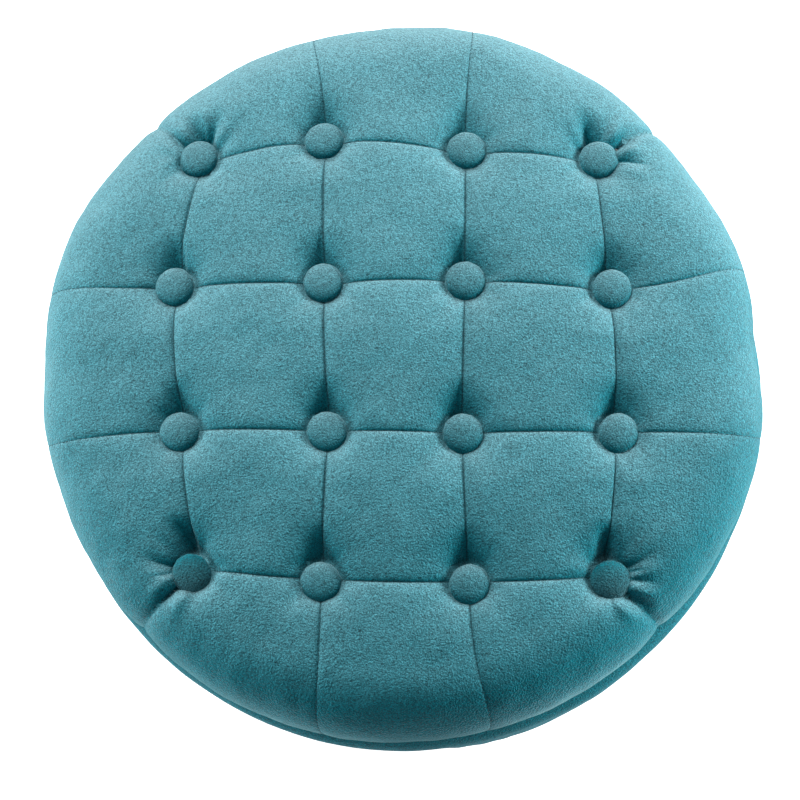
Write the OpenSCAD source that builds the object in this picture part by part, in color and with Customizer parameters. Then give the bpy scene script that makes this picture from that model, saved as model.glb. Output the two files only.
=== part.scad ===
// Round storage ottoman: an upholstered drum with a deep buttoned lid on a rear hinge.
// The origin is the middle of the footprint on the floor, +Z is up and the front faces -Y.

/* [Overall] */
// Diameter of the drum over its cover
drum_d = 463; // [440:1:500]
// Widest diameter of the lid over its cover
lid_d = 452; // [430:1:480]
// Height of the drum from the floor to its top
drum_top = 330; // [260:5:420]
// Height of the closed lid from its underside to its crown
lid_h = 104; // [95:1:130]
// Gap between the drum and the closed lid
lid_gap = 4; // [4:0.5:6]

/* [Upholstery] */
// Thickness of the velvet cover with its backing
cover_t = 1.2; // [0.8:0.1:2]
// Thickness of the fibre wrap under the lid's cover
batting_t = 8; // [4:1:12]
// Rounding at the drum's upper edge
shoulder_r = 16; // [10:1:20]
// Rounding at the drum's lower edge
hem_r = 10; // [6:1:14]
// Rounding at the lid's lower edge
lid_under_r = 28; // [20:1:32]
// Rounding at the lid's upper edge
lid_over_r = 50; // [40:1:54]

/* [Buttons] */
// Diameter of a covered button
button_d = 24.4; // [20:0.2:26]
// Height of a covered button above its seat
button_h = 8; // [6:0.5:9]
// Distance of the inner columns of buttons from the middle
inner_x = 43; // [40:1:48]
// Distance of the outer columns of buttons from the middle
outer_x = 132; // [124:1:138]
// Distance of the inner rows of buttons from the middle
inner_y = 45.5; // [40:0.5:48]
// Distance of the outer rows of buttons from the middle
outer_y = 135; // [124:1:138]
// How far each corner button is set in towards the middle, along X and along Y
corner_pull = 8; // [6:0.5:14]
// How deep a button's seat lies below the lid's surface
tuft_depth = 12; // [8:1:16]

/* [Frame] */
// Thickness of the bent plywood wall of the drum
wall_t = 6; // [4:1:9]
// Thickness of the foam round the drum's wall
wall_foam_t = 18.3; // [12:0.1:20]
// Thickness of both plywood rings
ring_t = 18; // [12:1:22]
// Width of the upper ring
top_ring_w = 17.8; // [14:0.1:30]
// Width of the lower ring
bottom_ring_w = 34; // [30:1:50]
// Thickness of the storage floor
floor_t = 5; // [3:1:9]
// Thickness of the lid's plywood board
board_t = 15; // [12:1:18]

/* [Feet] */
// Height of a foot with its felt pad
foot_h = 25.4; // [20:0.2:60]
// Diameter of a foot at its top
foot_d = 40; // [34:1:44]
// Thickness of the felt pad under a foot
pad_t = 2; // [1:0.5:3]
// Distance of the feet from the middle
foot_r = 186; // [182:1:188]

/* [Hinge] */
// Width of the hinge's barrel
hinge_w = 90; // [70:1:110]
// Distance of the hinge's pin from the middle
hinge_y = 230; // [229:0.5:234]
// Thickness of each hinge leaf
leaf_t = 1.8; // [1.5:0.1:1.8]
// Diameter of the hinge's pin
pin_d = 4; // [3:0.5:5]
// Outer diameter of the hinge's barrel
barrel_d = 8; // [7:0.5:8]

/* [Hidden] */
$fn = 96;
eps = 0.5;
over = 40;

velvet = "#4f8f99";
black_cloth = "#26282a";
bare_foam = "#e9dfc4";
fibre = "#f2f2ee";
plywood = "#c9a877";
hardboard = "#8d6f50";
steel = "#b9bcc0";
black_wood = "#1f1c1a";
twine = "#d8cfb8";

// Drum
drum_r = drum_d / 2;
drum_bottom = foot_h + 0.6;
wall_out = drum_r - cover_t - wall_foam_t;
wall_in = wall_out - wall_t;
ring_in = wall_in - top_ring_w;
low_ring_in = wall_in - bottom_ring_w;
frame_low = drum_bottom + cover_t;
frame_top = drum_top - cover_t;
floor_z = frame_low + ring_t;
lining_t = 1;
dust_t = 0.6;
mat_t = 2;
turn_down = 26;
hem_in = 178;
dust_r = 198;

// Lid
lid_r = lid_d / 2;
lid_low = drum_top + lid_gap;
crown = lid_low + lid_h;
under_c = [lid_r - lid_under_r, lid_low + lid_under_r];
over_c = [lid_r - lid_over_r, lid_low + 34];
// The crown's radius is the one that meets the rounded edge without a crease.
crown_drop = crown - over_c[1] - lid_over_r;
crown_r = (over_c[0] * over_c[0] + crown_drop * crown_drop) / (2 * crown_drop) + lid_over_r;
crown_edge = crown_r * over_c[0] / (crown_r - lid_over_r);
board_r = under_c[0];
board_z = lid_low + cover_t;
board_top = board_z + board_t;
cover_opening = 160;
lid_lining_r = 168;
lid_lining_t = 0.8;

// Buttons, row by row from the back: how far each one is hand-set off its grid place, along X and Y
drift = [[[1, 4], [-1, 4], [1, -4], [1, -1]],
         [[-3, 2], [0, 1], [0, 1], [-1, -3]],
         [[2, 3], [3, 1], [-2, -1], [1, 0]],
         [[2, 0], [-1, 2], [1, 0], [3, -5]]];
grid_x = [-outer_x, -inner_x, inner_x, outer_x];
grid_y = [outer_y, inner_y, -inner_y, -outer_y];
button_r = button_d / 2;
pocket_r = button_r + 1.8;
back_r = button_r - 1.8;
back_t = 1.6;
eye_r = 1.4;
eye_h = 3;
cord_r = 1;
cord_hole_r = 1.6;
washer_r = 8.5;
washer_t = 1.4;
washer_recess = 1.6;

// Hinge, with its axis along X
hinge_z = drum_top + lid_gap / 2;
leaf_gap = lid_gap / 2 - leaf_t;
knuckles = 5;
knuckle_gap = 0.3;
knuckle_w = (hinge_w - (knuckles - 1) * knuckle_gap) / knuckles;
pin_play = 0.05;
barrel_clear = 0.6;
leaf_base_in = 190;
leaf_lid_in = 171;
stop_w = 3;
stop_reach = 6.5;
stop_root = 13;
stop_heel = 4.5;
stop_arm_t = 2.8;
stop_side = hinge_w / 2 + 0.4;
open_angle = 100;
screw_r = 1.8;
screw_head_r = 3.6;
screw_l = 14;
screw_x = [-34, -12, 12, 34];
base_screw_y = 198;
lid_screw_y = [181, 192, 192, 181];

// Feet
foot_angles = [225, 315, 135, 45];
foot_low_r = 14;
bolt_r = 3;
bolt_up = 14;
bolt_down = 13;
foot_edge = 1.5;

// Staples
staple_w = 10;
staple_wire = 1.1;
staple_crown = 0.6;
staple_leg = 6;
hem_staples_n = 28;
hem_staple_r = 190;
lid_staples_n = 32;
lid_staple_r = 176;

bumper_r = 5;
bumper_gap = 0.4;
bumper_at = 201;
bumper_angles = [30, 150, 210, 270, 330];

function is_corner(row, col) = (row == 0 || row == 3) && (col == 0 || col == 3);
function corner_shift(row, col) = is_corner(row, col) ? corner_pull : 0;
function button_x(row, col) = grid_x[col] - sign(grid_x[col]) * corner_shift(row, col) + drift[row][col][0];
function button_y(row, col) = grid_y[row] - sign(grid_y[row]) * corner_shift(row, col) + drift[row][col][1];
function surface_z(x, y) = crown - crown_r + sqrt(crown_r * crown_r - x * x - y * y);
function seat_z(row, col) = surface_z(button_x(row, col), button_y(row, col)) - tuft_depth;

module at_button(row, col) {
    translate([button_x(row, col), button_y(row, col), 0]) children();
}

// Upright cylinder from one height to another
module rod(r, z0, z1) {
    translate([0, 0, z0]) cylinder(r = r, h = z1 - z0);
}

module tube(r_out, r_in, z0, z1) {
    difference() {
        rod(r_out, z0, z1);
        rod(r_in, z0 - eps, z1 + eps);
    }
}

// Half section of the drum, moved in from its outer surface by inset
module drum_section(inset) {
    translate([0, drum_bottom + inset]) square([drum_r - hem_r, hem_r]);
    translate([0, drum_bottom + hem_r]) square([drum_r - inset, drum_top - shoulder_r - drum_bottom - hem_r]);
    translate([0, drum_bottom + hem_r]) square([drum_r - shoulder_r, drum_top - drum_bottom - hem_r - inset]);
    intersection() {
        translate([drum_r - shoulder_r, drum_top - shoulder_r]) circle(r = shoulder_r - inset);
        translate([0, drum_bottom]) square([drum_r, drum_top]);
    }
    translate([drum_r - hem_r, drum_bottom + hem_r]) circle(r = hem_r - inset);
}

module drum_form(inset) {
    rotate_extrude() drum_section(inset);
}

// Half section of the lid, moved in from its outer surface by inset
module lid_section(inset) {
    translate([0, lid_low + inset]) square([under_c[0], over_c[1] - lid_low - inset]);
    translate([0, under_c[1]]) square([lid_r - inset, over_c[1] - under_c[1]]);
    translate([0, over_c[1] - 1]) square([over_c[0], lid_over_r - 10]);
    intersection() {
        translate(under_c) circle(r = lid_under_r - inset);
        translate([0, lid_low]) square([lid_r, lid_h]);
    }
    intersection() {
        translate(over_c) circle(r = lid_over_r - inset);
        translate([over_c[0] - lid_under_r, over_c[1] - 1]) square([lid_over_r + lid_under_r, lid_h]);
    }
    intersection() {
        translate([0, crown - crown_r]) circle(r = crown_r - inset, $fn = 360);
        translate([0, over_c[1]]) square([crown_edge * (crown_r - inset) / crown_r, lid_h]);
    }
}

// The lid's solid with a pocket round every button
module lid_form(inset) {
    difference() {
        rotate_extrude() lid_section(inset);
        for (row = [0:3]) {
            for (col = [0:3]) {
                at_button(row, col) rod(pocket_r + inset, seat_z(row, col) - inset, crown + over);
            }
        }
    }
}

// Holes for the tufting cords
module cord_holes() {
    for (row = [0:3]) {
        for (col = [0:3]) {
            at_button(row, col) rod(cord_hole_r, lid_low - over, crown);
        }
    }
}

module staple(down) {
    flip = down ? 180 : 0;
    rotate([flip, 0, 0]) {
        translate([-staple_w / 2, -staple_wire / 2, -staple_crown]) {
            cube([staple_w, staple_wire, staple_crown]);
        }
        for (side = [-1, 1]) {
            translate([side * (staple_w - staple_wire) / 2 - staple_wire / 2, -staple_wire / 2, -staple_crown]) {
                cube([staple_wire, staple_wire, staple_crown + staple_leg]);
            }
        }
    }
}

// Staples set square to the rim, left out where the hinge leaf lies
module lid_staple_ring() {
    for (i = [0:lid_staples_n - 1]) {
        angle = (i + 0.5) * 360 / lid_staples_n;
        if (abs(angle - 90) > 19) {
            rotate([0, 0, angle]) translate([lid_staple_r, 0, lid_low]) staple(false);
        }
    }
}

// Staples that hold the dust cover, left out over the feet
module hem_staple_ring() {
    for (i = [0:hem_staples_n - 1]) {
        angle = i * 360 / hem_staples_n;
        if (abs(angle % 90 - 45) > 9) {
            rotate([0, 0, angle]) translate([hem_staple_r, 0, drum_bottom - dust_t]) staple(false);
        }
    }
}

// A countersunk wood screw with its head's top at the origin, pointing down
module wood_screw() {
    translate([0, 0, -leaf_t]) cylinder(r1 = screw_r, r2 = screw_head_r, h = leaf_t);
    rod(screw_r, -screw_l, -leaf_t);
}

module base_screws() {
    for (x = screw_x) {
        translate([x, base_screw_y, drum_top + leaf_t]) wood_screw();
    }
}

module lid_screws() {
    for (i = [0:3]) {
        translate([screw_x[i], lid_screw_y[i], lid_low - leaf_t]) mirror([0, 0, 1]) wood_screw();
    }
}

module feet_bolts() {
    for (angle = foot_angles) {
        rotate([0, 0, angle]) translate([foot_r, 0, 0]) rod(bolt_r, foot_h - bolt_down, frame_low + bolt_up);
    }
}

module top_ring() {
    color(plywood) difference() {
        tube(wall_in, ring_in, frame_top - ring_t, frame_top);
        base_screws();
    }
}

module bottom_ring() {
    color(plywood) difference() {
        tube(wall_in, low_ring_in, frame_low, floor_z);
        feet_bolts();
        hem_staple_ring();
    }
}

module drum_wall() {
    color(hardboard) tube(wall_out, wall_in, frame_low, frame_top);
}

module floor_panel() {
    color(hardboard) rod(wall_in - 0.2, floor_z, floor_z + floor_t);
}

module floor_mat() {
    color(black_cloth) rod(wall_in - lining_t - 0.3, floor_z + floor_t, floor_z + floor_t + mat_t);
}

module side_lining() {
    color(black_cloth) tube(wall_in, wall_in - lining_t, floor_z + floor_t, frame_top - ring_t);
}

module wall_foam() {
    color(bare_foam) difference() {
        drum_form(cover_t);
        rod(wall_out, 0, drum_top + over);
    }
}

module side_cover() {
    color(velvet) difference() {
        drum_form(0);
        difference() {
            drum_form(cover_t);
            tube(ring_in, ring_in - cover_t, drum_top - turn_down, drum_top);
        }
        rod(ring_in - cover_t, drum_bottom + hem_r, drum_top + over);
        rod(hem_in, 0, drum_bottom + hem_r);
        base_screws();
        feet_bolts();
        hem_staple_ring();
    }
}

module dust_cover() {
    color(black_cloth) difference() {
        rod(dust_r, drum_bottom - dust_t, drum_bottom);
        feet_bolts();
        hem_staple_ring();
    }
}

module hem_staples() {
    color(steel) hem_staple_ring();
}

module foot(angle) {
    color(black_wood) difference() {
        rotate([0, 0, angle]) translate([foot_r, 0, 0]) rotate_extrude() polygon([
            [0, pad_t],
            [foot_low_r - foot_edge, pad_t],
            [foot_low_r, pad_t + foot_edge],
            [foot_d / 2, foot_h - 2 * foot_edge],
            [foot_d / 2, foot_h - foot_edge / 2],
            [foot_d / 2 - foot_edge / 2, foot_h],
            [0, foot_h]
        ]);
        feet_bolts();
    }
}

module foot_bolts() {
    color(steel) feet_bolts();
}

module felt_pads() {
    color(black_cloth) for (angle = foot_angles) {
        rotate([0, 0, angle]) translate([foot_r, 0, 0]) rod(foot_low_r - foot_edge, 0, pad_t);
    }
}

// Small buffers that the closed lid comes down on
module rim_bumpers() {
    color(black_cloth) for (angle = bumper_angles) {
        rotate([0, 0, angle]) translate([bumper_at, 0, 0]) rod(bumper_r, drum_top, lid_low - bumper_gap);
    }
}

// The barrel's section, seen along the hinge's pin
module barrel_piece(i, bore_r) {
    translate([-hinge_w / 2 + i * (knuckle_w + knuckle_gap), 0, 0]) rotate([90, 0, 90]) difference() {
        cylinder(d = barrel_d, h = knuckle_w);
        translate([0, 0, -eps]) cylinder(r = bore_r, h = knuckle_w + 2 * eps);
    }
}

// Flat part of a leaf from y_in to the pin, clear of the other leaf's knuckles
module leaf_plate(y_in, first) {
    difference() {
        union() {
            translate([-hinge_w / 2, y_in - hinge_y, leaf_gap]) cube([hinge_w, hinge_y - y_in, leaf_t]);
            for (side = [-1, 1]) {
                translate([side > 0 ? hinge_w / 2 - eps : -stop_side - stop_w, y_in - hinge_y, leaf_gap]) {
                    cube([stop_side + stop_w - hinge_w / 2 + eps, hinge_y - y_in - stop_root + eps, leaf_t]);
                }
            }
        }
        for (i = [first:2:knuckles - 1]) {
            translate([-hinge_w / 2 + i * (knuckle_w + knuckle_gap) - knuckle_gap, 0, -barrel_d]) {
                translate([0, -barrel_d / 2 - barrel_clear, 0]) cube([knuckle_w + 2 * knuckle_gap, barrel_d, 2 * barrel_d]);
            }
        }
        rotate([0, 90, 0]) cylinder(d = pin_d + 1, h = 2 * hinge_w, center = true);
    }
}

// Both ends of a leaf carry a stop outside the barrel, drawn here as a section in Y and Z
module stops(points) {
    for (x = [-stop_side - stop_w, stop_side]) {
        translate([x, 0, 0]) rotate([90, 0, 90]) linear_extrude(height = stop_w) polygon(points);
    }
}

module hinge_base_leaf() {
    color(steel) difference() {
        translate([0, hinge_y, hinge_z]) {
            mirror([0, 0, 1]) leaf_plate(leaf_base_in, 1);
            for (i = [0:2:knuckles - 1]) {
                barrel_piece(i, pin_d / 2);
            }
            stops([
                [-stop_root, -leaf_gap - leaf_t],
                [-stop_root, -leaf_gap],
                [-leaf_gap, -leaf_gap],
                [stop_reach * cos(open_angle), -stop_reach * sin(open_angle)],
                [-stop_heel, -stop_reach * sin(open_angle)],
                [-stop_heel, -leaf_gap - leaf_t]
            ]);
        }
        base_screws();
    }
}

module hinge_lid_leaf() {
    color(steel) difference() {
        translate([0, hinge_y, hinge_z]) {
            leaf_plate(leaf_lid_in, 0);
            for (i = [1:2:knuckles - 1]) {
                barrel_piece(i, pin_d / 2 + pin_play);
            }
            stops([
                [-stop_root, leaf_gap],
                [-stop_root, leaf_gap + leaf_t],
                [-stop_heel - 1, leaf_gap + leaf_t],
                [-stop_heel, leaf_gap + stop_arm_t],
                [stop_reach, leaf_gap + stop_arm_t],
                [stop_reach, leaf_gap]
            ]);
        }
        lid_screws();
    }
}

module hinge_pin() {
    color(steel) translate([0, hinge_y, hinge_z]) rotate([0, 90, 0]) cylinder(d = pin_d, h = hinge_w, center = true);
}

module hinge_base_screws() {
    color(steel) base_screws();
}

module hinge_lid_screws() {
    color(steel) lid_screws();
}

module lid_board() {
    color(plywood) difference() {
        rod(board_r, board_z, board_top);
        cord_holes();
        washer_places(washer_r + 0.5, washer_recess);
        lid_screws();
        lid_staple_ring();
    }
}

module washer_places(r, depth) {
    for (row = [0:3]) {
        for (col = [0:3]) {
            at_button(row, col) rod(r, board_z, board_z + depth);
        }
    }
}

module seat_foam() {
    color(bare_foam) difference() {
        lid_form(cover_t + batting_t);
        rod(board_r, lid_low, board_top);
        cord_holes();
    }
}

module seat_batting() {
    color(fibre) difference() {
        lid_form(cover_t);
        lid_form(cover_t + batting_t);
        rod(board_r, lid_low, board_top);
        cord_holes();
    }
}

module seat_cover() {
    color(velvet) difference() {
        lid_form(0);
        lid_form(cover_t);
        rod(cover_opening, lid_low - eps, board_z + eps);
        cord_holes();
        lid_screws();
        lid_staple_ring();
    }
}

module lid_lining() {
    color(black_cloth) rod(lid_lining_r, lid_low - lid_lining_t, lid_low);
}

module lid_staples() {
    color(steel) lid_staple_ring();
}

module tuft_cords() {
    color(twine) for (row = [0:3]) {
        for (col = [0:3]) {
            at_button(row, col) rod(cord_r, board_z + 0.2, seat_z(row, col) - eye_h);
        }
    }
}

module cord_washers() {
    color(steel) difference() {
        for (row = [0:3]) {
            for (col = [0:3]) {
                at_button(row, col) rod(washer_r, board_z + washer_recess - washer_t, board_z + washer_recess);
            }
        }
        for (row = [0:3]) {
            for (col = [0:3]) {
                at_button(row, col) rod(cord_r, lid_low, crown);
            }
        }
    }
}

module button_backs() {
    color(steel) for (row = [0:3]) {
        for (col = [0:3]) {
            at_button(row, col) {
                rod(back_r, seat_z(row, col), seat_z(row, col) + back_t);
                rod(eye_r, seat_z(row, col) - eye_h, seat_z(row, col));
            }
        }
    }
}

// A domed cap that wraps the button's back; row and col count from 1 at the back left
module button(row, col) {
    dome_r = (button_r * button_r + button_h * button_h) / (2 * button_h);
    color(velvet) translate([0, 0, seat_z(row - 1, col - 1)]) at_button(row - 1, col - 1) difference() {
        intersection() {
            translate([0, 0, button_h - dome_r]) sphere(r = dome_r);
            rod(button_r - 0.2, 0, button_h + 1);
        }
        rod(back_r, -eps, back_t);
    }
}

top_ring();
bottom_ring();
drum_wall();
floor_panel();
floor_mat();
side_lining();
wall_foam();
side_cover();
dust_cover();
hem_staples();
foot(foot_angles[0]);  // foot_front_left
foot(foot_angles[1]);  // foot_front_right
foot(foot_angles[2]);  // foot_back_left
foot(foot_angles[3]);  // foot_back_right
foot_bolts();
felt_pads();
rim_bumpers();
hinge_base_leaf();
hinge_pin();
hinge_base_screws();
hinge_lid_leaf();
hinge_lid_screws();
lid_board();
seat_foam();
seat_batting();
seat_cover();
lid_lining();
lid_staples();
tuft_cords();
cord_washers();
button_backs();
button(1, 1);  // button_1_1
button(1, 2);  // button_1_2
button(1, 3);  // button_1_3
button(1, 4);  // button_1_4
button(2, 1);  // button_2_1
button(2, 2);  // button_2_2
button(2, 3);  // button_2_3
button(2, 4);  // button_2_4
button(3, 1);  // button_3_1
button(3, 2);  // button_3_2
button(3, 3);  // button_3_3
button(3, 4);  // button_3_4
button(4, 1);  // button_4_1
button(4, 2);  // button_4_2
button(4, 3);  // button_4_3
button(4, 4);  // button_4_4
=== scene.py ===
import math
import bmesh
import bpy
import numpy as np
from mathutils import Matrix, Vector


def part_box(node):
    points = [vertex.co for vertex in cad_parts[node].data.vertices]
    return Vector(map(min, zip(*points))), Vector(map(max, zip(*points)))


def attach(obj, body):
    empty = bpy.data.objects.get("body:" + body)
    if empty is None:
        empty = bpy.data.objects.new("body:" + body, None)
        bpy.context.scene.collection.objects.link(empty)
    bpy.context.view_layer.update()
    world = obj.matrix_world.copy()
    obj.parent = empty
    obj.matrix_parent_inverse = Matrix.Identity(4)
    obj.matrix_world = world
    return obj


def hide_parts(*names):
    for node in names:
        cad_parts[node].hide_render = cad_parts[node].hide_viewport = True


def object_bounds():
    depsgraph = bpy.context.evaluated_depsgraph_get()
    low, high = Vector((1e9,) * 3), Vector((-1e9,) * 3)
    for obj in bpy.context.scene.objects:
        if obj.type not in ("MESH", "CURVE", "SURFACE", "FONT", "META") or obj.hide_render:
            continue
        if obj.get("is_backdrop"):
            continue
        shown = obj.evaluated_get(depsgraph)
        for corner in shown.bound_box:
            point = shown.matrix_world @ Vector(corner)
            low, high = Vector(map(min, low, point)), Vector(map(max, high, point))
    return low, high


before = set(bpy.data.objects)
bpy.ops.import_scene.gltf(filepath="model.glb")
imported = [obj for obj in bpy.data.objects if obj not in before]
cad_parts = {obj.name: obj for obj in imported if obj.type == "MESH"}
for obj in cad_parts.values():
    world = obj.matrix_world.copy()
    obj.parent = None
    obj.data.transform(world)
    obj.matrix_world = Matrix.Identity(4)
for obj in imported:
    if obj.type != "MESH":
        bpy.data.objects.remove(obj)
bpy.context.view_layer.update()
scene = bpy.context.scene
rows = range(1, 5)
print("frame loaded")


def boxOf(node):
    low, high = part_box(node)
    return np.array(low), np.array(high)


lidLow, lidHigh = boxOf("seat_cover")
drumLow, drumHigh = boxOf("side_cover")
lidRadius = (lidHigh[0] - lidLow[0]) / 2
drumRadius = (drumHigh[0] - drumLow[0]) / 2
buttonSeat = np.zeros((4, 4, 3))
for row in rows:
    for col in rows:
        low, high = boxOf(f"button_{row}_{col}")
        buttonSeat[row - 1, col - 1] = [*(low[:2] + high[:2]) / 2, low[2]]


# Camera: close above the lid, leaning a little to the front and the right
view = {
    "target": (0.0004, -0.0155, 0.035),  # from the middle of the lid's underside
    "place": (0.066, -0.229, 1.211),
    "lens": 86.0,
}


def makeCamera():
    base = Vector((0, 0, lidLow[2]))
    target = base + Vector(view["target"])
    place = base + Vector(view["place"])
    camera = bpy.data.objects.new("camera", bpy.data.cameras.new("camera"))
    scene.collection.objects.link(camera)
    zAxis = (place - target).normalized()
    xAxis = Vector((0, 1, 0)).cross(zAxis).normalized()
    yAxis = zAxis.cross(xAxis)
    turn = Matrix((xAxis, yAxis, zAxis)).transposed().to_4x4()
    camera.matrix_world = Matrix.Translation(place) @ turn
    camera.data.lens = view["lens"]
    camera.data.sensor_width = 36
    camera.data.clip_start = 0.05
    scene.camera = camera


makeCamera()


def makeObject(name, points, faces, material, smooth=True):
    mesh = bpy.data.meshes.new(name)
    mesh.from_pydata([tuple(p) for p in points], [], [tuple(int(i) for i in f) for f in faces])
    mesh.validate()
    mesh.update()
    if smooth:
        mesh.polygons.foreach_set("use_smooth", [True] * len(mesh.polygons))
    thing = bpy.data.objects.new(name, mesh)
    scene.collection.objects.link(thing)
    if material:
        mesh.materials.append(material)
    return thing


def settle(thing, body, node):
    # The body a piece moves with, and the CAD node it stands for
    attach(thing, body)
    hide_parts(node)


def gridFaces(across, along, wrapAcross=False, wrapAlong=False):
    # Quads of a grid whose points are numbered along first
    a = np.arange(across if wrapAcross else across - 1)
    b = np.arange(along if wrapAlong else along - 1)
    a, b = np.meshgrid(a, b, indexing="ij")
    a1, b1 = (a + 1) % across, (b + 1) % along
    quads = np.stack([a * along + b, a1 * along + b, a1 * along + b1, a * along + b1], axis=-1)
    return quads.reshape(-1, 4)


def smoothStep(x, low, high):
    t = np.clip((x - low) / (high - low), 0, 1)
    return t * t * (3 - 2 * t)


def waves(seed, points, size, octaves=2):
    # Smooth seeded unevenness between about -1 and 1, made of crossing waves
    rng = np.random.default_rng(seed)
    total = np.zeros(len(points))
    weight = 0
    for octave in range(octaves):
        for _ in range(9):
            direction = rng.normal(size=points.shape[1])
            direction *= 2 * math.pi / size * 2 ** octave / np.linalg.norm(direction)
            total += np.sin(points @ direction + rng.uniform(0, 2 * math.pi)) * 0.5 ** octave
        weight += 0.5 ** octave
    return total / (3 * weight)


def newGroup(name, inputs):
    # Every group gives a color, a roughness and a height; the kind of an input follows from its value
    group = bpy.data.node_groups.new(name, "ShaderNodeTree")
    for label, value in inputs.items():
        kind = "Float" if isinstance(value, float) else {3: "Vector", 4: "Color"}[len(value)]
        socket = group.interface.new_socket(name=label, in_out="INPUT", socket_type="NodeSocket" + kind)
        socket.default_value = value
    for label, kind in (("Color", "Color"), ("Roughness", "Float"), ("Height", "Float")):
        group.interface.new_socket(name=label, in_out="OUTPUT", socket_type="NodeSocket" + kind)
    return group, group.nodes.new("NodeGroupInput"), group.nodes.new("NodeGroupOutput")


def feed(tree, socket, value):
    # A socket takes a plain value or another node's output
    if isinstance(value, (int, float, tuple)):
        socket.default_value = value
    elif value is not None:
        tree.links.new(value, socket)


def mathNode(tree, operation, first, second=None):
    node = tree.nodes.new("ShaderNodeMath")
    node.operation = operation
    for socket, value in zip(node.inputs, (first, second)):
        feed(tree, socket, value)
    return node.outputs[0]


def times(tree, first, second):
    return mathNode(tree, "MULTIPLY", first, second)


def plus(tree, first, second):
    return mathNode(tree, "ADD", first, second)


def noiseNode(tree, vector, scale, detail=2.0, roughness=0.5):
    node = tree.nodes.new("ShaderNodeTexNoise")
    node.inputs["Detail"].default_value = detail
    node.inputs["Roughness"].default_value = roughness
    tree.links.new(vector, node.inputs["Vector"])
    feed(tree, node.inputs["Scale"], scale)
    return node.outputs["Fac"]


def mixColor(tree, factor, first, second):
    node = tree.nodes.new("ShaderNodeMix")
    node.data_type = "RGBA"
    for slot, value in ((0, factor), (6, first), (7, second)):
        feed(tree, node.inputs[slot], value)
    return node.outputs[2]


def rampNode(tree, value, low, high, outLow=0.0, outHigh=1.0):
    node = tree.nodes.new("ShaderNodeMapRange")
    for label, limit in (("From Min", low), ("From Max", high), ("To Min", outLow), ("To Max", outHigh)):
        node.inputs[label].default_value = limit
    tree.links.new(value, node.inputs["Value"])
    return node.outputs[0]


def makePileGroup():
    # Short pile with uneven tufts; painted light and shade: a deeper colour where the surface faces away from
    # the given light way, a paler one where it faces it, and darker still where the Shade input paints shade
    group, start, end = newGroup("pile", {
        "Shaded Color": (0.0, 0.1, 0.14, 1),
        "Lit Color": (0.1, 0.24, 0.28, 1),
        "Painted Light Way": (0.0, 0.9, 0.42),
        "Grain Scale": 700.0,
        "Grain Depth": 0.5,
        "Patch Depth": 0.1,
        "Shade": 0.0,
    })
    place = group.nodes.new("ShaderNodeTexCoord").outputs["Object"]
    grain = noiseNode(group, place, start.outputs["Grain Scale"], 3.0, 0.62)
    coarse = noiseNode(group, place, times(group, start.outputs["Grain Scale"], 0.36), 2.0)
    patch = noiseNode(group, place, 22.0, 2.0)
    both = plus(group, times(group, grain, 0.8), times(group, coarse, 0.2))
    spread = rampNode(group, both, 0.36, 0.64, -1.0, 1.0)
    shade = times(group, spread, start.outputs["Grain Depth"])
    swing = rampNode(group, patch, 0.3, 0.7, -1.0, 1.0)
    broad = times(group, swing, start.outputs["Patch Depth"])
    level = plus(group, plus(group, shade, broad), 1.0)
    # painted shade: the colour is darkened where the Shade input is set, in seam creases and round buttons
    lit = mathNode(group, "SUBTRACT", 1.0, times(group, start.outputs["Shade"], 0.62))
    level = times(group, level, lit)
    # painted light and shade: the colour turns paler the more the surface faces the light way, deeper the
    # more it faces away
    lean = group.nodes.new("ShaderNodeVectorMath")
    lean.operation = "DOT_PRODUCT"
    group.links.new(group.nodes.new("ShaderNodeTexCoord").outputs["Normal"], lean.inputs[0])
    group.links.new(start.outputs["Painted Light Way"], lean.inputs[1])
    paintedLightShare = rampNode(group, lean.outputs["Value"], -0.22, 0.95)
    tone = mixColor(group, paintedLightShare, start.outputs["Shaded Color"], start.outputs["Lit Color"])
    scaled = group.nodes.new("ShaderNodeVectorMath")
    scaled.operation = "SCALE"
    group.links.new(tone, scaled.inputs[0])
    group.links.new(level, scaled.inputs["Scale"])
    group.links.new(scaled.outputs[0], end.inputs["Color"])
    group.links.new(rampNode(group, grain, 0.3, 0.7, 0.72, 0.95), end.inputs["Roughness"])
    tufts = noiseNode(group, place, times(group, start.outputs["Grain Scale"], 0.62), 1.0)
    group.links.new(tufts, end.inputs["Height"])
    return group


def makeMaterial(name):
    material = bpy.data.materials.new(name)
    material.use_nodes = True
    tree = material.node_tree
    return material, tree, tree.nodes["Principled BSDF"]


def useGroup(tree, group, **values):
    node = tree.nodes.new("ShaderNodeGroup")
    node.node_tree = group
    for label, value in values.items():
        node.inputs[label].default_value = value
    return node


def addBump(tree, shader, height, strength, distance):
    bump = tree.nodes.new("ShaderNodeBump")
    bump.inputs["Strength"].default_value = strength
    bump.inputs["Distance"].default_value = distance
    tree.links.new(height, bump.inputs["Height"])
    tree.links.new(bump.outputs["Normal"], shader.inputs["Normal"])


pileGroup = makePileGroup()

velvet = {
    # Painted shade and painted light: the velvet's colour facing away from the light way, and facing it
    "deep": (0.0, 0.156, 0.198, 1),
    "pale": (0.100, 0.225, 0.258, 1),
    "paintedLightWay": (-0.10, 0.90, 0.42),  # the way the surface faces where its colour is painted palest: painted light and shade
    "sheenTint": (0.52, 0.92, 1.0, 1),
    "sheen": 0.38,
    "sheenRoughness": 0.36,
    "gloss": 0.2,
    "grainScale": 1350.0,
    "grainDepth": 0.70,
    "patchDepth": 0.05,
    "bump": 1.0,
}


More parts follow.
